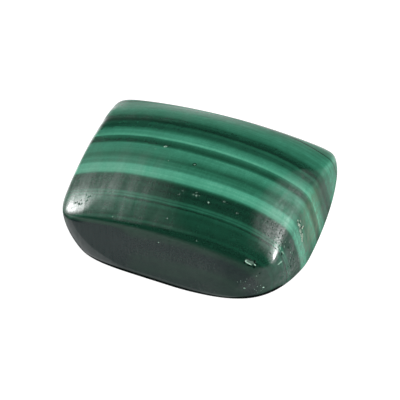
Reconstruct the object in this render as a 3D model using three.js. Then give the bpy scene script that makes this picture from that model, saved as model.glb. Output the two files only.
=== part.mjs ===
// A malachite cabochon in millimetres, Z up: one natural stone, ground and polished to a cushion shape.
// It lies on its flat back. X runs along the stone, Y across it, and the origin is the middle of the back.
import * as THREE from 'three';
import { mergeVertices } from 'three/addons/utils/BufferGeometryUtils.js';

// The crown is a barrel: strongly curved across the stone and nearly straight along it.
const HEIGHT = 7.8; // from the flat back to the crest
const CREST_X = 1.4; // the highest point lies a little off the middle
const CREST_Y = 1.35;
const CROWN_RADIUS_ALONG = 38;
const CROWN_RADIUS_ACROSS = 11.2;

// Each wall stands almost upright and is widest at its belly, near mid height.
const LEFT_REACH = 8.81; // from the origin to each wall's belly
const RIGHT_REACH = 8.98;
const FRONT_REACH = 6.26;
const BACK_REACH = 6.31;
const BELLY_Z = 3.3;
const BELLY_RADIUS = 17.5;
const FRONT_SKEW = 0.0105; // the front wall is a little out of square
const END_SPLAY = 0.057; // both ends spread towards the back
const RIGHT_END_RADIUS = 40; // the right end is bowed, the left end is straight

// How far from an edge its rounding starts. A square edge ends up with a radius of about half that.
const UPRIGHT_EDGE_TOP = 1.85;
const UPRIGHT_EDGE_FOOT_LEFT = 5.9;
const UPRIGHT_EDGE_FOOT_RIGHT = 9.5;
const UPRIGHT_EDGE_TOP_Z = 5.1; // from here down the upright edges open out to their foot
const UPRIGHT_EDGE_POWER = 1.5; // they open faster the lower they get, so the stone stays convex
const CROWN_EDGE_LEFT = 0.7;
const CROWN_EDGE_RIGHT_FRONT = 1.3;
const CROWN_EDGE_RIGHT_BACK = 0.55;
const FOOT_EDGE = 0.3;
const CHANGE_ALONG = 3; // left hand sizes turn into right hand ones within this far of the middle
const CHANGE_ACROSS = 4; // and front ones into back ones within this far

// The surface mesh: a box with this many steps each way, drawn onto the stone.
const STEPS_ALONG = 36;
const STEPS_ACROSS = 26;
const STEPS_UP = 16;
const EVENNESS = 0.4; // 1 spaces the steps evenly, 0 crowds them at the edges
const HALVINGS = 26; // how often a search along a line is halved
const SETTLING_ROUNDS = 8; // how often the crown's edge is looked for again at its own height
const MIDDLE_Z = 3.5; // a point well inside, from which the surface is looked for
const GRAIN = 1e-4; // coordinates are kept to this many millimetres, so the back is exactly flat

const { clamp, lerp, smoothstep } = THREE.MathUtils;

function crownZ(x, y) {
  const along = (x - CREST_X) ** 2 / (2 * CROWN_RADIUS_ALONG);
  const across = (y - CREST_Y) ** 2 / (2 * CROWN_RADIUS_ACROSS);
  return HEIGHT - along - across;
}

// The larger of two distances, with a smooth change over within reach of where they are equal.
function softMax(a, b, reach) {
  const near = Math.max(reach - Math.abs(a - b), 0) / reach;
  return Math.max(a, b) + (near ** 3 * reach) / 6;
}

// How far a point is outside the four walls. It is negative inside them, as are the distances below.
function outsideWalls({ x, y, z }) {
  const belly = (z - BELLY_Z) ** 2 / (2 * BELLY_RADIUS);
  const bow = y ** 2 / (2 * RIGHT_END_RADIUS);
  const front = -y - (FRONT_REACH + FRONT_SKEW * x - belly);
  const back = y - (BACK_REACH - belly);
  const left = -x - (LEFT_REACH + END_SPLAY * y - belly);
  const right = x - (RIGHT_REACH + END_SPLAY * y - bow - belly);
  const toRight = smoothstep(x, -CHANGE_ALONG, CHANGE_ALONG);
  const foot = lerp(UPRIGHT_EDGE_FOOT_LEFT, UPRIGHT_EDGE_FOOT_RIGHT, toRight);
  const toFoot = clamp(1 - z / UPRIGHT_EDGE_TOP_Z, 0, 1) ** UPRIGHT_EDGE_POWER;
  const upright = lerp(UPRIGHT_EDGE_TOP, foot, toFoot);
  return softMax(Math.max(front, back), Math.max(left, right), upright);
}

function outsideCrown({ x, y, z }) {
  const slopeAlong = (x - CREST_X) / CROWN_RADIUS_ALONG;
  const slopeAcross = (y - CREST_Y) / CROWN_RADIUS_ACROSS;
  return (z - crownZ(x, y)) / Math.hypot(1, slopeAlong, slopeAcross);
}

function outsideStone(point) {
  const toBack = smoothstep(point.y, -CHANGE_ACROSS, CHANGE_ACROSS);
  const toRight = smoothstep(point.x, -CHANGE_ALONG, CHANGE_ALONG);
  const rightEdge = lerp(CROWN_EDGE_RIGHT_FRONT, CROWN_EDGE_RIGHT_BACK, toBack);
  const crownEdge = lerp(CROWN_EDGE_LEFT, rightEdge, toRight);
  const sides = softMax(outsideWalls(point), outsideCrown(point), crownEdge);
  return softMax(sides, -point.z, FOOT_EDGE);
}

// The point where a line from inside the stone, in the direction given, reaches a surface.
function meet(outside, start, direction) {
  let near = 0;
  let far = LEFT_REACH + FRONT_REACH;
  const point = new THREE.Vector3();
  for (let i = 0; i < HALVINGS; i++) {
    const middle = (near + far) / 2;
    const isOut = outside(point.copy(direction).multiplyScalar(middle).add(start)) > 0;
    if (isOut) far = middle;
    else near = middle;
  }
  return point.copy(direction).multiplyScalar(near).add(start);
}

// Steps from -1 to 1 that crowd towards both ends, where the stone's edges are.
function crowd(t) {
  return lerp(Math.sin((t * Math.PI) / 2), t, EVENNESS);
}

// Moves a point of the unit box to a point near the stone, so that the box's edges lie along the stone's.
function guide(box) {
  const ring = Math.max(Math.abs(crowd(box.x)), Math.abs(crowd(box.y)));
  const outward = new THREE.Vector3(crowd(box.x) * LEFT_REACH, crowd(box.y) * FRONT_REACH, 0).normalize();
  const wallAt = (z) => meet(outsideWalls, new THREE.Vector3(0, 0, z), outward);
  let crownEdge = wallAt(BELLY_Z);
  for (let i = 0; i < SETTLING_ROUNDS; i++) {
    crownEdge = wallAt(crownZ(crownEdge.x, crownEdge.y));
  }
  const point = wallAt((crownEdge.z * (crowd(box.z) + 1)) / 2);
  point.x *= ring;
  point.y *= ring;
  if (box.z === 1) point.z = crownZ(point.x, point.y);
  return point;
}

function makeStoneGeometry() {
  const box = new THREE.BoxGeometry(2, 2, 2, STEPS_ALONG, STEPS_ACROSS, STEPS_UP);
  box.deleteAttribute('normal');
  box.deleteAttribute('uv');
  const geometry = mergeVertices(box);
  geometry.clearGroups();
  const position = geometry.getAttribute('position');
  const middle = new THREE.Vector3(0, 0, MIDDLE_Z);
  for (let i = 0; i < position.count; i++) {
    const ray = guide(new THREE.Vector3().fromBufferAttribute(position, i)).sub(middle).normalize();
    const point = meet(outsideStone, middle, ray).divideScalar(GRAIN).round().multiplyScalar(GRAIN);
    position.setXYZ(i, point.x, point.y, point.z);
  }
  geometry.computeVertexNormals();
  return geometry;
}

const malachite = new THREE.MeshStandardMaterial({ color: 0x2f7d62, roughness: 0.15, metalness: 0 });
const cabochon = new THREE.Mesh(makeStoneGeometry(), malachite);
cabochon.name = 'cabochon';

const part = new THREE.Group();
part.add(cabochon);

export default part;
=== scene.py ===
from math import cos, pi, radians, sin
from random import Random

import bmesh
import bpy
from mathutils import Matrix, Vector
from mathutils.bvhtree import BVHTree
from mathutils.kdtree import KDTree


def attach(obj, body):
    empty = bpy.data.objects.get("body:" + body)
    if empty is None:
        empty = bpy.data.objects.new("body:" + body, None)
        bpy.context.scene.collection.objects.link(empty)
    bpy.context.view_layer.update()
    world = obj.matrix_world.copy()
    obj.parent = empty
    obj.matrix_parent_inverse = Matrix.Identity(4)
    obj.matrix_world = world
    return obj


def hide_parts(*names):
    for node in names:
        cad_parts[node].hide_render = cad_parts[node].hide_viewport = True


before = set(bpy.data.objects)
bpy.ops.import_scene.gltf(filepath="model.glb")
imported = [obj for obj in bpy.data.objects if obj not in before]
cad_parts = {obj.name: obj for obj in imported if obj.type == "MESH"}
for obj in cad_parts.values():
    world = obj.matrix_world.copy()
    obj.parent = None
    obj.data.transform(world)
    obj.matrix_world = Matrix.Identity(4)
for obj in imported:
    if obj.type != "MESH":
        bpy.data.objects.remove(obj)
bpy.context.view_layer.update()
MM = 0.001

# The stone: one piece of malachite, sawn, ground to a cushion with a barrel crown and polished all over.
# The ground solid is taken over whole. Its flat facets are joined to four-sided faces and rounded off.
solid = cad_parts["cabochon"]
SAME_CORNER = 0.001 * MM
ROUNDING_LEVELS = 2

mesh = bmesh.new()
mesh.from_mesh(solid.data)
bmesh.ops.remove_doubles(mesh, verts=mesh.verts, dist=SAME_CORNER)
bmesh.ops.join_triangles(
    mesh, faces=mesh.faces, topology_influence=2,
    angle_face_threshold=radians(40), angle_shape_threshold=radians(80))
for face in mesh.faces:
    face.smooth = True
facets = bpy.data.objects.new("facets", bpy.data.meshes.new("facets"))
mesh.to_mesh(facets.data)
mesh.free()
bpy.context.scene.collection.objects.link(facets)
rounding = facets.modifiers.new("rounding", "SUBSURF")
rounding.levels = rounding.render_levels = ROUNDING_LEVELS
graph = bpy.context.evaluated_depsgraph_get()
stone_mesh = bpy.data.meshes.new_from_object(facets.evaluated_get(graph))
stone_mesh.name = "stone"
bpy.data.objects.remove(facets)

# Small damage on the stone: pits where a grain fell out in polishing, a chip on the front ridge, knocks
# at the right front corner and a scuffed patch on the right wall. Each is a few round scoops, in
# millimetres. A look above 0 is pale bruised stone and dust, and in the brightest pits a painted glint.
# A look below 0 is dirt, and in the chip it is painted shade in its hollows.
PAINTED_GLINT, BRUISED, DULL, DIRTY = 1, 0.6, 0.3, -0.7
SIDEWAYS = (0.92, 0.4, 0)  # to the right, as the camera sees it
UPRIGHT = (0, 0, 1)

# Each scoop: its place, half its length and half its width, its depth, the way it lies, and its look.
CROWN_PITS = [
    ((-2.63, 0.19, 7.5), (0.15, 0.08), 0.03, SIDEWAYS, 0.5),
    ((-3.25, -0.2, 7.4), (0.1, 0.1), 0.01, SIDEWAYS, 0.15),
    ((0.1, -0.79, 7.6), (0.16, 0.15), 0.03, SIDEWAYS, -1),
    ((0.1, -0.79, 7.6), (0.06, 0.05), 0.04, SIDEWAYS, 0.4),
    ((-1.86, -0.99, 7.4), (0.05, 0.05), 0.02, SIDEWAYS, DULL),
    ((0.14, -3.02, 6.9), (0.06, 0.06), 0.02, SIDEWAYS, 0.2),
    ((-0.02, -3.37, 6.8), (0.1, 0.06), 0.02, SIDEWAYS, 0.12),
    ((1.17, -2.88, 7.0), (0.11, 0.04), 0.02, SIDEWAYS, DULL),
    ((1.03, -3.08, 6.9), (0.08, 0.07), 0.02, SIDEWAYS, 0.25),
    ((1.26, -3.09, 6.9), (0.07, 0.08), 0.03, SIDEWAYS, 0.45),
    ((1.47, -3.03, 6.9), (0.05, 0.05), 0.02, SIDEWAYS, 0.25),
    ((2.3, -3.31, 6.8), (0.07, 0.08), 0.03, SIDEWAYS, 0.5),
    ((2.45, -3.45, 6.8), (0.06, 0.05), 0.02, SIDEWAYS, DIRTY),
    ((3.35, -2.89, 6.9), (0.1, 0.07), 0.03, SIDEWAYS, 0.22),
    ((3.65, -3.0, 6.9), (0.05, 0.05), 0.02, SIDEWAYS, DIRTY),
    ((4.57, -3.39, 6.7), (0.1, 0.07), 0.02, SIDEWAYS, 0.12),
    ((-0.17, -5.13, 5.9), (0.07, 0.07), 0.02, SIDEWAYS, 0.12),
    ((-4.14, -5.76, 5.1), (0.06, 0.06), 0.02, SIDEWAYS, DULL),
    ((2.47, -5.82, 5.3), (0.05, 0.08), 0.02, SIDEWAYS, 0.25),
]
WALL_PITS = [
    ((-0.32, -6.22, 4.4), (0.05, 0.05), 0.02, SIDEWAYS, 0.7),
    ((1.72, -6.26, 4.06), (0.05, 0.05), 0.02, SIDEWAYS, 0.2),
    ((7.23, -6.13, 3.93), (0.06, 0.09), 0.02, SIDEWAYS, DULL),
    ((7.4, -5.95, 4.2), (0.05, 0.07), 0.02, SIDEWAYS, DIRTY),
    # The palest look here is a painted glint, white where the pit catches the light.
    ((7.5, -5.42, 2.29), (0.07, 0.08), 0.03, SIDEWAYS, PAINTED_GLINT),
    ((7.66, -5.3, 2.2), (0.05, 0.1), 0.02, SIDEWAYS, DIRTY),
    ((6.29, -6.03, 2.26), (0.1, 0.12), 0.03, SIDEWAYS, 0.45),
    ((8.79, -1.24, 5.14), (0.09, 0.05), 0.03, UPRIGHT, BRUISED),
    ((8.64, -3.25, 4.27), (0.1, 0.09), 0.03, UPRIGHT, DULL),
    ((8.71, -2.83, 3.94), (0.1, 0.07), 0.02, UPRIGHT, 0.2),
]
# The chip's darkest scoops are painted shade in its hollows. Its paler ones are bruised stone.
RIDGE_CHIP = [
    ((6.62, -5.93, 4.9), (0.42, 0.22), 0.07, (1, 0, -0.15), -0.5),
    ((6.62, -5.92, 4.92), (0.3, 0.13), 0.08, (1, 0, -0.15), 0.27),
    ((6.4, -5.95, 4.91), (0.09, 0.09), 0.08, (1, 0, 0), 0.6),
    ((6.58, -6.0, 4.86), (0.24, 0.035), 0.08, (1, 0, -0.3), 0.8),
    ((6.96, -5.94, 4.83), (0.17, 0.045), 0.07, (1, 0, -0.4), 0.85),
    ((6.62, -5.85, 4.99), (0.13, 0.07), 0.08, (1, 0, 0), -0.3),
    ((6.93, -5.8, 4.99), (0.12, 0.08), 0.05, (0, 1, 0), -1),
    ((6.65, -6.05, 4.7), (0.24, 0.06), 0.05, (1, 0, 0), -1),
    ((6.98, -6.02, 4.66), (0.12, 0.08), 0.05, UPRIGHT, -1),
    ((6.27, -6.03, 4.8), (0.09, 0.08), 0.05, (1, 0, 0), -1),
]
CORNER_KNOCKS = [
    ((8.42, -4.58, 4.35), (0.3, 0.1), 0.03, (0.1, 0.6, -0.1), 0.38),
    ((8.38, -4.75, 4.36), (0.12, 0.06), 0.04, (0.1, 0.6, -0.1), 0.45),
    ((8.33, -4.5, 4.2), (0.2, 0.05), 0.02, (0.1, 0.6, -0.1), -0.4),
    ((8.4, -4.14, 4.97), (0.22, 0.06), 0.03, (0.2, 0.25, -0.6), 0.35),
    ((8.42, -4.1, 4.85), (0.1, 0.05), 0.03, (0.2, 0.25, -0.6), 0.4),
    ((8.28, -4.3, 4.95), (0.14, 0.05), 0.03, UPRIGHT, -1),
    ((8.26, -4.25, 5.41), (0.14, 0.05), 0.02, (0, 0.2, 1), 0.25),
    ((8.41, -3.87, 5.32), (0.13, 0.05), 0.02, (0, 0.2, 1), 0.25),
]

chance = Random(4)


def scatter(start, end, spread, count, widths, looks):
    """Upright scoops strewn along a line, up to twice as long as they are wide."""
    start, end = Vector(start), Vector(end)
    strewn = []
    for number in range(count):
        place = start.lerp(end, (number + 0.5) / count)
        place += Vector((chance.uniform(-spread, spread) for axis in range(3)))
        width = chance.uniform(*widths)
        length = width * chance.uniform(1, 2)
        strewn.append((place, (length, width), width / 2, UPRIGHT, chance.choice(looks)))
    return strewn


scuffed_patch = scatter(
    start=(8.66, -1.75, 6.1), end=(8.81, -1.35, 4.1), spread=0.16,
    count=26, widths=(0.06, 0.12), looks=(0.4, 0.5, BRUISED, DIRTY))
wall_specks = scatter(
    start=(8.6, -3.4, 5.0), end=(8.7, -2.6, 1.5), spread=0.5,
    count=30, widths=(0.03, 0.09), looks=(0.15, 0.2, 0.25, -0.3))
corner_specks = scatter(
    start=(8.1, -3.6, 5.9), end=(8.0, -4.5, 5.4), spread=0.4,
    count=36, widths=(0.02, 0.045), looks=(DULL, 0.4, DIRTY, -0.4))
crown_specks = scatter(
    start=(7.2, -2.4, 6.6), end=(7.3, -4.2, 6.0), spread=0.55,
    count=36, widths=(0.015, 0.03), looks=(0.2, 0.3, -0.4))
facet_specks = scatter(
    start=(6.3, -6.1, 3.2), end=(7.3, -5.5, 1.6), spread=0.6,
    count=26, widths=(0.02, 0.04), looks=(DULL, 0.4, -0.4))
left_specks = scatter(
    start=(-7.6, -5.5, 4.6), end=(-6.3, -4.6, 5.4), spread=0.4,
    count=16, widths=(0.02, 0.04), looks=(-0.5, -0.4, 0.3))
scoops = CROWN_PITS + WALL_PITS + RIDGE_CHIP + CORNER_KNOCKS
scoops += scuffed_patch + wall_specks + corner_specks + crown_specks + facet_specks + left_specks

# Each scoop moves to the nearest point of the surface, and the faces around it are cut finer.
FINE_CUTS = 4
FINE_MARGIN = 0.06

mesh = bmesh.new()
mesh.from_mesh(stone_mesh)
skin = BVHTree.FromBMesh(mesh)
marks = []
for where, (length, width), depth, way, look in scoops:
    place, normal = skin.find_nearest(Vector(where) * MM)[:2]
    marks.append((place, normal, length, width, depth, Vector(way), look))


def nearness(points):
    """A tree that finds which of the points lie near a place."""
    tree = KDTree(len(points))
    for number, point in enumerate(points):
        tree.insert(point, number)
    tree.balance()
    return tree


faces = list(mesh.faces)
face_tree = nearness([face.calc_center_median() for face in faces])
fine_edges = set()
for place, _, length, width, *_ in marks:
    for _, number, _ in face_tree.find_range(place, (max(length, width) + FINE_MARGIN) * MM):
        fine_edges.update(faces[number].edges)
bmesh.ops.subdivide_edges(mesh, edges=list(fine_edges), cuts=FINE_CUTS, use_grid_fill=True)

# A flat ball floats over each mark, one depth above the surface and two depths in radius, and presses the
# surface down. Cut halfway up, a ball is narrower than at its middle, so it starts that much wider.
BALL_SPREAD = 1.15
SEARCH_SPREAD = 1.2
LOOK_SHARPNESS = 4

damage = mesh.verts.layers.float.new("damage")
vertices = list(mesh.verts)
vertex_tree = nearness([vertex.co.copy() for vertex in vertices])
for place, normal, length, width, depth, way, look in marks:
    lengthways = (way - normal * normal.dot(way)).normalized()
    turn = Matrix((lengthways, normal.cross(lengthways), normal)).transposed()
    radii = Vector((length * BALL_SPREAD, width * BALL_SPREAD, depth * 2)) * MM
    ball = Matrix.LocRotScale(place + normal * depth * MM, turn, radii)
    into_ball = ball.inverted()
    reach = (max(length, width) + depth) * MM * SEARCH_SPREAD
    for point, number, _ in vertex_tree.find_range(place, reach):
        vertex = vertices[number]
        inside = into_ball @ point
        if inside.length < 1:
            vertex[damage] += (look - vertex[damage]) * min(1, LOOK_SHARPNESS * (1 - inside.length))
        inside = into_ball @ vertex.co
        if inside.length < 1:
            vertex.co = ball @ inside.normalized()
mesh.to_mesh(stone_mesh)
mesh.free()
stone = bpy.data.objects.new("stone", stone_mesh)
bpy.context.scene.collection.objects.link(stone)

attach(stone, "root")
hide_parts("cabochon")


# Malachite: layers of fine green needles, laid down one on another like the rings of a tree.
# Fine needles look pale and coarse ones nearly black. The saw cut through the layers, so they show as bands.
class Value:
    """A number that a shader works out, which takes part in ordinary sums."""

    def __init__(self, shader, socket):
        self.shader = shader
        self.socket = socket

    def math(self, operation, *others):
        return self.shader.add("ShaderNodeMath", {"operation": operation}, self, *others)

    def __add__(self, other):
        return self.math("ADD", other)

    def __radd__(self, other):
        return self.math("ADD", other)

    def __mul__(self, other):
        return self.math("MULTIPLY", other)

    def __rmul__(self, other):
        return self.math("MULTIPLY", other)

    def __sub__(self, other):
        return self.math("SUBTRACT", other)

    def __rsub__(self, other):
        return (self * -1) + other

    def __truediv__(self, other):
        return self.math("DIVIDE", other)

    def __rtruediv__(self, other):
        return self.math("POWER", -1) * other


class Shader:
    """The nodes of a material or a light."""

    def __init__(self, owner):
        owner.use_nodes = True
        self.nodes = owner.node_tree.nodes
        self.links = owner.node_tree.links

    def add(self, kind, settings=None, *inputs, output=None, **named):
        """Adds a node with its settings, then fills its open sockets by order or by name.

        Gives the output of that name, or else the first open one.
        """
        node = self.nodes.new(kind)
        for name, value in (settings or {}).items():
            if name == "stops":
                self.set_stops(node.color_ramp, value)
            else:
                setattr(node, name, value)
        sockets = [socket for socket in node.inputs if socket.enabled]
        for socket, value in zip(sockets, inputs):
            self.fill(socket, value)
        for name, value in named.items():
            self.fill(node.inputs[name], value)
        if output is None:
            return Value(self, next(socket for socket in node.outputs if socket.enabled))
        return Value(self, node.outputs[output])

    def fill(self, socket, value):
        if isinstance(value, Value):
            self.links.new(value.socket, socket)
        else:
            socket.default_value = value

    def set_stops(self, ramp, stops):
        while len(ramp.elements) > 1:
            ramp.elements.remove(ramp.elements[-1])
        for number, (position, colour) in enumerate(stops):
            stop = ramp.elements[0] if number == 0 else ramp.elements.new(position)
            stop.position = position
            stop.color = (*colour, 1)


def fade(place, none, full):
    """0 where place is at or beyond none, 1 at or beyond full, and smooth in between."""
    return place.shader.add(
        "ShaderNodeMapRange", {"interpolation_type": "SMOOTHSTEP"}, place,
        **{"From Min": none, "From Max": full})


def between(place, none, full, still_full, none_again):
    """1 from full to still_full, and 0 up to none and from none_again on."""
    return fade(place, none, full) * fade(place, none_again, still_full)


def colour(red, green, blue):
    """A colour as it looks on a screen, from 0 to 255, turned into the amounts of light that shaders use."""
    parts = [part / 255 for part in (red, green, blue)]
    return tuple(part / 12.92 if part < 0.04 else ((part + 0.055) / 1.055) ** 2.4 for part in parts)


def blend(amount, first, second):
    """A colour between two others, as far along as the amount from 0 to 1."""
    first, second = ((*each, 1) if isinstance(each, tuple) else each for each in (first, second))
    return amount.shader.add("ShaderNodeMix", {"data_type": "RGBA"}, amount, first, second)


# The greens, by how fine the needles are, from 0, coarse and nearly black, to 1.2, finest and palest.
FINEST = 1.2
GREENS = [
    (0.0, colour(9, 31, 30)),
    (0.12, colour(17, 48, 36)),
    (0.3, colour(23, 64, 48)),
    (0.45, colour(31, 79, 61)),
    (0.6, colour(40, 98, 76)),
    (0.8, colour(55, 122, 98)),
    (1.0, colour(74, 149, 122)),
    (FINEST, colour(104, 170, 146)),
]
BLACK_GREEN, DEEP, DARK, BOTTLE, MIDDLE, LEAF, LIGHT, PALE = 0.08, 0.2, 0.3, 0.4, 0.5, 0.67, 0.8, 1.0

# The layers from front to back, by their place in millimetres where the cut crosses the middle of the stone.
FRONT_LAYERS = [
    (-6.4, 0), (-5.2, BLACK_GREEN), (-4.8, 0), (-4.5, 0.02),
    (-4.1, 0.15), (-3.55, 0.12), (-3.45, DARK), (-3.35, 0.33), (-3.2, 0.17), (-2.85, 0.26),
    (-2.2, 0.24), (-1.95, BOTTLE), (-1.85, 0.35), (-1.75, 0.1), (-1.65, DARK), (-1.55, 0.58),
    (-1.45, 0.31), (-1.35, MIDDLE), (-1.25, 0.42), (-1.15, DEEP), (-0.95, 0.17), (-0.7, 0.12),
    (-0.35, DEEP), (-0.2, 0.12), (0.06, DEEP), (0.15, 0.34), (0.25, 0.63), (0.35, 0.9),
    (0.6, 1.02), (0.8, 0.96), (0.95, PALE), (1.05, 0.99),
]
BACK_LAYERS = [
    (1.15, 0.96), (1.35, 0.66), (1.6, LEAF), (1.75, 0.61), (2.05, MIDDLE), (2.3, 0.57),
    (2.5, 0.71), (2.9, LIGHT), (3.15, LIGHT), (3.32, 0.45), (3.45, DARK), (3.55, 0.35), (3.85, 0.55),
    (3.95, LEAF), (4.03, PALE), (4.15, 1.04), (4.3, 0.86), (4.6, 0.85), (4.85, LEAF), (5.1, BOTTLE),
    (5.3, 0.37), (5.55, MIDDLE), (5.65, 0.42), (5.85, 0.12), (6.15, 0.35), (6.4, 0.41), (6.7, LEAF),
    (7.0, 0.7), (7.45, 0.79), (8.48, LEAF), (8.56, DEEP), (8.66, LEAF),
]
# A ramp holds 32 stops, so the front layers have one and the back layers another. They meet at the seam.
FIRST, SEAM, LAST = -6.6, 1.1, 9.0

malachite_material = bpy.data.materials.new("malachite")
malachite = Shader(malachite_material)
own_place = malachite.add("ShaderNodeTexCoord", output="Object")
place_mm = malachite.add("ShaderNodeVectorMath", {"operation": "SCALE"}, own_place, Scale=1 / MM)
x, y, z = (malachite.add("ShaderNodeSeparateXYZ", None, place_mm, output=axis) for axis in "XYZ")


def noise(where, scale=1, detail=2, roughness=0.5, stretch=(1, 1, 1)):
    """Cloudy noise about 0, mostly between -0.5 and 0.5. Scale is per millimetre, and stretch is over it."""
    stretched = malachite.add("ShaderNodeVectorMath", {"operation": "MULTIPLY"}, where, stretch)
    cloud = malachite.add(
        "ShaderNodeTexNoise", None, stretched, Scale=scale, Detail=detail, Roughness=roughness)
    return cloud - 0.5


# How deep a point lies in the growth layers, in millimetres. The layers lean, bow and are a little wavy.
LEAN, TURN, FAN = 0.401, -0.0132, 0.0048
BOW, BACK_BOW, END_BOW = 0.00645, 0.00028, 0.00014
WAVE_HEIGHT, RIPPLE_HEIGHT = 0.16, 0.03
waves = WAVE_HEIGHT * noise(place_mm, scale=0.25) + RIPPLE_HEIGHT * noise(place_mm, scale=1.2)
bow = BOW * (x * x) + BACK_BOW * (x * x * y) + END_BOW * (x * x * x * x)
layer = y + LEAN * z + TURN * x + FAN * (x * y) + bow + waves

# The needles stand square to the layers. This is how far a point lies along them, across and up.
NEEDLE_FAN = 0.012
across_needles = x - NEEDLE_FAN * (x * layer)
up_needles = z - LEAN * y
in_needles = malachite.add("ShaderNodeCombineXYZ", None, across_needles, up_needles, layer)

# How far a point lies below the crown's barrel, which is given by its crest and its two radii.
CREST_X, CREST_Y, CREST_Z = 1.4, 1.35, 7.8
RADIUS_ALONG, RADIUS_ACROSS = 38, 11.2
fall_along = (x - CREST_X) * (x - CREST_X) / (2 * RADIUS_ALONG)
fall_across = (y - CREST_Y) * (y - CREST_Y) / (2 * RADIUS_ACROSS)
below_crown = CREST_Z - fall_along - fall_across - z


def fineness(layers, first, last):
    """How fine the needles are in each layer, from a ramp that runs through the list."""
    stops = [((at - first) / (last - first), (fine, fine, fine)) for at, fine in layers]
    along = (layer - first) / (last - first)
    return malachite.add("ShaderNodeValToRGB", {"stops": stops}, along)


behind_seam = layer.math("GREATER_THAN", SEAM)
front_fineness = fineness(FRONT_LAYERS, FIRST, SEAM)
back_fineness = fineness(BACK_LAYERS, SEAM, LAST)
needles = front_fineness + (back_fineness - front_fineness) * behind_seam

# Some stretches of a layer are finer or coarser than the rest of it. Here, and all through this section,
# the numbers in a fade are places on the stone, in millimetres.
left_front = fade(x, -0.5, -4) * between(layer, -4.5, -2, 0, 0.25)
left_ridge = fade(below_crown, 0.28, 0.5) * fade(x, -2, -5)
blurred_line = fade(x, -3, -6) * between(layer, -1.95, -1.8, -1.7, -1.6)
blurred_gap = fade(x, -3, -6) * between(layer, -1.6, -1.55, -1.25, -1.15)
back_right_edge = fade(x, 8, 8.7) * fade(y, 3, 4.5)
middle_band = x * fade(x, 6.8, 4) * between(layer, 1.2, 1.6, 2.3, 2.8)
right_wall_front = fade(x, 7.3, 8) * fade(z, 3.4, 4.2) * between(layer, -3.4, -2.8, -1.2, -0.5)
finer = [
    (left_front, 0.14), (left_ridge, -0.25), (blurred_line, 0.14), (blurred_gap, -0.1),
    (back_right_edge, 0.15), (middle_band, -0.013), (right_wall_front, 0.16),
]
for where, amount in finer:
    needles = needles + amount * where

# Thin layers, bundles of needles, specks and clouds roughen the bands, but less in the darkest ones.
DARKEST_ROUGHNESS = 0.4
thin_layers = noise(in_needles, stretch=(0.12, 0.12, 5))
needle_bundles = noise(in_needles, detail=3, roughness=0.6, stretch=(5, 5, 0.5))
specks = noise(place_mm, scale=8, roughness=0.8)
clouds = noise(place_mm, detail=3, roughness=0.65, stretch=(0.7, 1.5, 1.5)) * fade(x, -4, 0)
roughened = 0.24 * thin_layers + 0.14 * needle_bundles + 0.26 * specks + 0.22 * clouds
needles = needles + roughened * (DARKEST_ROUGHNESS + (1 - DARKEST_ROUGHNESS) * fade(needles, 0.05, 0.35))
stops = [(fine / FINEST, green) for fine, green in GREENS]
green = malachite.add("ShaderNodeValToRGB", {"stops": stops}, needles / FINEST)

# The right wall is worn duller. Grey dust in its scratches hides the green, and there is a faint stain.
FRONT_DUST = colour(34, 54, 49)
BACK_DUST = colour(46, 61, 52)
STAIN = colour(160, 185, 125)
grain = noise(in_needles, roughness=0.6, stretch=(9, 9, 5))
mottles = noise(place_mm, scale=3, detail=3, roughness=0.65, stretch=(1, 1, 0.5))
wear = (0.42 + 0.6 * grain + 1.3 * mottles) * (fade(x, 6.5, 8.3) * fade(below_crown, 0.05, 0.7))
worn_green = blend(wear, green, blend(fade(y, -3.5, 0), FRONT_DUST, BACK_DUST))
right_wall_middle = fade(x, 8.3, 8.8) * between(y, -2, -0.6, 0.8, 2.2) * fade(z, 1.5, 3.5)
stained_green = blend((0.05 + 0.18 * mottles) * right_wall_middle, worn_green, STAIN)

# Painted shade: the foot, rounded but not polished, is painted nearly black as the shadow where it meets the
# floor. The painted shade climbs around the right front corner, where the wall is undercut and in its own
# shade.
FOOT_SHADE = colour(10, 16, 14)
shade_climb = (0.54 * fade(x, 4.5, 7) + 0.18 * fade(x, 6.8, 7.8)) * fade(y, -2.5, -4)
foot_shade = fade(z - shade_climb, 0.48, 0.38)
foot_shaded_green = blend(foot_shade, stained_green, FOOT_SHADE)

# The flat back was sawn and never polished. It is duller and greyer, with fine lines from the saw.
SAW_DUST = colour(96, 122, 108)
saw_lines = noise(place_mm, roughness=0.6, stretch=(0.3, 9, 1))
sawn_green = blend(0.35 + 0.5 * saw_lines, green, SAW_DUST)
back_green = blend(fade(z, 0.06, 0.02) * (0.9 + saw_lines), foot_shaded_green, sawn_green)

# The damage shows pale bruised stone and dust, with painted glints in the brightest pits, and dirt, with
# painted shade in the hollows of the chip. The scuffed patch on the right wall is greyer.
BRUISE_AND_GLINT = colour(180, 215, 196)
SCUFF = colour(170, 176, 164)
DIRT_AND_SHADE = colour(8, 24, 18)
damage_look = malachite.add("ShaderNodeAttribute", {"attribute_name": "damage"}, output="Fac")
pale_mark_colour = blend(fade(x, 7.5, 8.3) * fade(y, -2.7, -2.1), BRUISE_AND_GLINT, SCUFF)
bruise_and_glint_green = blend(fade(damage_look, 0, PAINTED_GLINT), back_green, pale_mark_colour)
dirt_and_shade_green = blend(fade(damage_look, 0, -1), bruise_and_glint_green, DIRT_AND_SHADE)

# Pinpricks, smaller than the pits, all over the right half. The polish has left pale powder in them.
POWDER = colour(150, 190, 168)
PRICKS_PER_MM = 3.5
to_prick = malachite.add("ShaderNodeTexVoronoi", None, place_mm, Scale=PRICKS_PER_MM)
pinpricks = fade(to_prick, 0.16, 0.04) * fade(x + 5 * noise(place_mm, scale=0.5), -4, 4)
powder = 0.03 + 0.3 * fade(noise(place_mm, scale=1.7, roughness=0.7), 0.1, 0.3)
pricked_green = blend(powder * pinpricks, dirt_and_shade_green, POWDER)

# All the shine is in the polish. The walls have less of it than the crown, and less still at their foot.
WALL_SHINE = 0.32
wall_polish = WALL_SHINE - 0.1 * fade(z, 3.5, 0.5)

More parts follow.
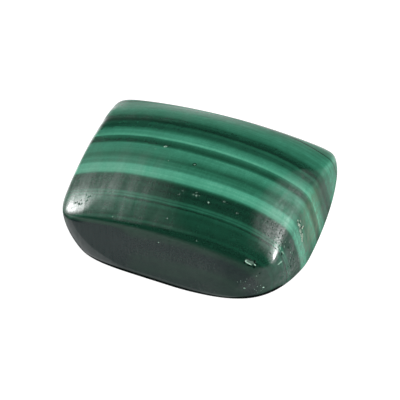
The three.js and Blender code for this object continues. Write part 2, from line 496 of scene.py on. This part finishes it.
# A flat spot was ground on the front wall below its left end. It ends in a crease and shines more.
beyond_spot = (-3.95 - x).math("MAXIMUM", 0)
crease_z = 0.85 + 0.45 * beyond_spot + 0.012 * (beyond_spot * beyond_spot * (beyond_spot * beyond_spot))
left_spot = fade(crease_z - z, -0.06, 0.06) * fade(x, -3, -4.5)
front_right = fade(x, 3, 6) * fade(y, -3.2, -5)
right_wall_back = fade(x, 8.2, 8.7) * fade(y, -2, 1.5) * fade(below_crown, 0.4, 1.6)
wall_polish = wall_polish + 0.2 * left_spot - 0.12 * front_right
wall_polish = wall_polish * (1 - 0.3 * right_wall_back)

# Another flat spot is at the right. Its left edge is a line that leans to the right as it rises.
past_edge = x - 0.7 * z - 4.05
right_spot = between(past_edge, -0.15, 0.35, 0.6, 2) * between(z, 1.4, 2.6, 4.3, 4.9)
wall_polish = wall_polish + right_spot * (0.1 + 0.08 * fade(z, 3, 4))

# The walls are hazy, speckled and mottled. They lose their shine where they turn away from the eye, but
# for a strip under the ridges. A thin line just above the foot shines.
haze = noise(place_mm, detail=3, roughness=0.7, stretch=(5, 5, 0.5))
speckles = specks * fade(x, -5, -2)
right_wall_mottles = mottles * fade(x, 7.6, 8.3)
wall_polish = wall_polish * (1 + 0.7 * haze + 1.6 * speckles + 2.6 * right_wall_mottles)
facing = malachite.add("ShaderNodeLayerWeight", output="Facing")
towards = fade(facing, 0.92, 0.7)
wall_polish = wall_polish * (towards + (1 - towards) * fade(z, 4.5, 5.5))
wall_polish = wall_polish + 0.12 * between(z, 0.38, 0.5, 0.62, 0.75)

# The crown's polish is streaked across the stone: how strongly, from left to right along the needles.
STREAKS_FROM, STREAKS_TO = -8, 9
STREAKS = [
    (-8, 1.25), (-7.3, 1.3), (-6.8, 1.05), (-6.4, 0.94), (-6.05, 1.05), (-5.6, 0.9), (-5.3, 1.18),
    (-4.85, 1.12), (-4.6, 0.8), (-4.3, 0.72), (-4.05, 1), (-3.7, 1.22), (-3.35, 0.95), (-3.1, 0.74),
    (-2.85, 0.7), (-2.6, 1), (-2.3, 1), (-2.05, 0.72), (-1.6, 0.5), (-1.3, 0.52), (-1, 0.65), (0, 0.7),
    (5.9, 0.7), (6.2, 0.9), (6.6, 0.7), (6.95, 1), (7.6, 0.82), (8.2, 1.08),
]
span = STREAKS_TO - STREAKS_FROM
stops = [((at - STREAKS_FROM) / span, (amount, amount, amount)) for at, amount in STREAKS]
streaked = malachite.add("ShaderNodeValToRGB", {"stops": stops}, (across_needles - STREAKS_FROM) / span)
streaks = noise(in_needles, roughness=0.6, stretch=(1.2, 1.2, 0.15))
scratches = noise(in_needles, detail=3, roughness=0.7, stretch=(6, 6, 1.2))
curtains = fade(noise(in_needles, roughness=0.6, stretch=(1.9, 1.9, 0.3)), -0.08, 0.06) - 0.5
uneven = 0.95 + 1.1 * streaks + 0.3 * curtains + 0.9 * scratches + specks * (1.2 + 1.5 * fade(x, 0, 4))
crown_polish = streaked * uneven

# Patches of the crown that shine more or less than the rest, and by which part.
left_back = fade(x, -2.5, -5) * between(layer, 6.0, 6.6, 7.2, 7.9)
left_front_gap = between(x, -6, -5.4, -4.6, -4) * fade(layer, -2.8, -3.1)
left_end_back = fade(x, -5, -7) * fade(layer, 4, 5)
left_end_middle = fade(x, -5, -7) * between(layer, 0.8, 1.5, 2.6, 3.3)
right_front_tip = fade(x, 7.3, 7.7) * fade(y, -4.9, -5.3)
right_end = between(x, 6, 7, 8, 8.6) * between(y, -2.9, -2.2, -0.2, 0.8)
shinier = [
    (left_back, -0.6), (left_front_gap, -0.35), (left_end_back, 0.35), (left_end_middle, -0.25),
    (right_front_tip, 0.3), (right_end, 0.2),
]
for where, part in shinier:
    crown_polish = crown_polish * (1 + part * where)

# The crown's polish ends at the ridges. It reaches lower at the right front corner, where a worn line
# ends it.
corner = fade(x, 7, 7.9) * fade(y, -4, -5)
past_worn_line = fade(y - 0.8 * x, -11.84, -11.68)
on_crown = fade(below_crown - 0.35 * corner, 0.45, 0.1) * (1 - corner * (1 - past_worn_line))
on_crown = on_crown * between(y, -6.15, -5.85, 3, 5.5)
polish = wall_polish + (crown_polish - wall_polish) * on_crown

# The right ridge is worn dull. The back ridge glows. Under the left end of the front ridge it is dull.
right_ridge = fade(x, 7.2, 8) * fade(y, -1.5, 1) * between(below_crown, 0.02, 0.08, 0.3, 1.5)
back_left_ridge = between(x, -8.5, -1.5, 0.5, 3.5) * between(layer, 7.2, 7.9, 8.1, 8.4)
back_right_ridge = fade(x, 0.5, 3.5) * fade(y, 4.4, 5.2) * fade(z, 5.8, 6.1)
under_left_ridge = fade(x, -6, -7) * between(below_crown, 0.2, 0.32, 0.42, 0.55)
polish = polish * (1 - 0.5 * right_ridge) + 0.8 * (back_left_ridge + 0.5 * back_right_ridge)
polish = polish * (1 - 0.8 * under_left_ridge)

# Damage, the foot under its painted shade and the pinpricks have lost their polish. The less polish, the
# duller the stone is.
DULLEST, SMOOTHEST = 0.55, 0.08
pale_marks, dark_marks = fade(damage_look, 0, 0.4), fade(damage_look, 0, -0.4)
polish = polish * ((1 - pale_marks) * (1 - dark_marks) * (1 - foot_shade) * (1 - 0.5 * pinpricks))
dullness = (DULLEST - 0.4 * polish).math("MAXIMUM", SMOOTHEST)

# The coarse needles polish away a little faster than the fine ones, which leaves a faint relief.
RELIEF = 0.004 * MM
relief = malachite.add("ShaderNodeBump", None, Distance=RELIEF, Height=needles + specks)

surface = malachite.nodes["Principled BSDF"].inputs
malachite.fill(surface["Base Color"], pricked_green)
malachite.fill(surface["Roughness"], dullness)
malachite.fill(surface["Coat Weight"], polish)
malachite.fill(surface["Normal"], relief)
surface["Specular IOR Level"].default_value = 0
surface["Coat Roughness"].default_value = 0.05
surface["Coat IOR"].default_value = 1.8
stone.data.materials.clear()
stone.data.materials.append(malachite_material)


# The floor: plain white card, wide enough to reach the horizon that the stone mirrors.
# It glows, so that it stays white in the picture and hardly takes a shadow.
FLOOR_SIZE = 3.0
FLOOR_COLOUR = (0.2, 0.2, 0.2, 1)
FLOOR_GLOW = 0.95

mesh = bmesh.new()
bmesh.ops.create_grid(mesh, x_segments=1, y_segments=1, size=FLOOR_SIZE / 2)
floor_mesh = bpy.data.meshes.new("floor")
mesh.to_mesh(floor_mesh)
mesh.free()
floor = bpy.data.objects.new("floor", floor_mesh)
bpy.context.scene.collection.objects.link(floor)
card_material = bpy.data.materials.new("card")
card = Shader(card_material).nodes["Principled BSDF"].inputs
card["Base Color"].default_value = FLOOR_COLOUR
card["Roughness"].default_value = 0.9
card["Specular IOR Level"].default_value = 0.1
card["Emission Color"].default_value = (1, 1, 1, 1)
card["Emission Strength"].default_value = FLOOR_GLOW
floor.data.materials.append(card_material)


# The lights: two tall screens of white cloth, on the left and the right of the stone, leaning over it.
# Lamps shine on each from behind and make bright spots, which fade outwards. The rest is dim.
SCREEN_DISTANCE = 0.4


def direction(azimuth, elevation):
    """Azimuth 0 is in front of the stone and 90 to its right."""
    flat = cos(radians(elevation))
    return Vector((sin(radians(azimuth)) * flat, -cos(radians(azimuth)) * flat, sin(radians(elevation))))


def light_screen(name, azimuth, elevation, sides, heights):
    """A screen that faces the stone, with its places given as parts of its distance, from its middle."""
    outward = direction(azimuth, elevation)
    turn = outward.to_track_quat("Z", "Y")
    middle = Vector((sum(sides) / 2, sum(heights) / 2, 1)) * SCREEN_DISTANCE
    lamp = bpy.data.lights.new(name, "AREA")
    lamp.shape = "RECTANGLE"
    lamp.size = (sides[1] - sides[0]) * SCREEN_DISTANCE
    lamp.size_y = (heights[1] - heights[0]) * SCREEN_DISTANCE
    lamp.energy = pi * lamp.size * lamp.size_y
    screen = bpy.data.objects.new(name, lamp)
    screen.location = turn @ middle
    screen.rotation_euler = turn.to_euler()
    bpy.context.scene.collection.objects.link(screen)
    cloth = Shader(lamp)
    on_screen = cloth.add("ShaderNodeNewGeometry", output="Parametric")
    across = cloth.add("ShaderNodeSeparateXYZ", None, on_screen, output="X")
    up = cloth.add("ShaderNodeSeparateXYZ", None, on_screen, output="Y")
    return cloth, sides[0] + across * (sides[1] - sides[0]), heights[0] + up * (heights[1] - heights[0])


def spot(across, up, middle, size, edge, lean=0):
    """How bright a lamp's spot is, from 1 in its middle down to nothing. A higher edge is a sharper one."""
    sideways = (across - middle[0] + lean * (up - middle[1])) / size[0]
    upwards = (up - middle[1]) / size[1]
    return 1 / ((sideways * sideways + upwards * upwards).math("POWER", edge) + 1)


cloth, across, up = light_screen(
    "left screen", azimuth=-90, elevation=30, sides=(-1.4, 1.2), heights=(-0.7, 0.95))
edges = between(across, -0.85, 0, 0.7, 1.2) * fade(up - 0.13 * across, 0.88, 0.6)
wide_spot = spot(across, up, middle=(0.1, 0.1), size=(0.35, 0.35), edge=1)
bright_spot = spot(across, up, middle=(0.4, 0.12), size=(0.16, 0.3), edge=1.4, lean=0.4)
shutters = fade(up + 0.3 * across, 0.47, 0.4) * fade(across, 0, 0.2)
upper_spot = spot(across, up, middle=(0.08, 0.42), size=(0.14, 0.14), edge=1.5)
brightness = edges * (0.45 + 0.4 * wide_spot + 11 * bright_spot * shutters + 0.5 * upper_spot)
cloth.fill(cloth.nodes["Emission"].inputs["Strength"], brightness)

cloth, across, up = light_screen(
    "right screen", azimuth=90, elevation=50, sides=(-0.8, 2.0), heights=(-1.4, 1.0))
edges = between(across, -0.7, -0.15, 1.6, 2.0) * fade(up - 0.1 * across, 1.02, 0.8)
bright_spot = spot(across, up, middle=(-0.08, -0.8), size=(0.095, 0.48), edge=2, lean=0.2)
tall_spot = spot(across, up, middle=(-0.12, 0.05), size=(0.17, 0.6), edge=1.5)
brightness = edges * (0.35 + 0.6 * fade(across, 1.5, 0.2) + 15 * bright_spot + 3.8 * tall_spot)
cloth.fill(cloth.nodes["Emission"].inputs["Strength"], brightness)

# The dim room beyond the screens. It is a little brighter close to the floor, and dark above.
HORIZON_GLOW = 0.85
room = bpy.data.worlds.new("room")
air = Shader(room)
sky_direction = air.add("ShaderNodeTexCoord", output="Generated")
upwards = air.add("ShaderNodeSeparateXYZ", None, sky_direction, output="Z")
air.fill(air.nodes["Background"].inputs["Strength"], HORIZON_GLOW * fade(upwards, 0.4, -0.1))
air.nodes["Background"].inputs["Color"].default_value = (1, 1, 1, 1)
bpy.context.scene.world = room


# The camera: a long lens, a little to the right of the front and well above the stone.
CAMERA_AZIMUTH = 23.7
CAMERA_ELEVATION = 42.9
CAMERA_DISTANCE = 0.2
PIXELS = 400
PIXELS_PER_MM = 13.69
LOOK_AT = Vector((0.18, 0.012, 3.434)) * MM

lens = bpy.data.cameras.new("camera")
lens.sensor_width = 36
lens.lens = PIXELS_PER_MM / MM * CAMERA_DISTANCE * lens.sensor_width / PIXELS
camera = bpy.data.objects.new("camera", lens)
towards_camera = direction(CAMERA_AZIMUTH, CAMERA_ELEVATION)
camera.location = LOOK_AT + towards_camera * CAMERA_DISTANCE
camera.rotation_euler = towards_camera.to_track_quat("Z", "Y").to_euler()
bpy.context.scene.collection.objects.link(camera)
bpy.context.scene.camera = camera
bpy.context.scene.view_settings.view_transform = "Standard"
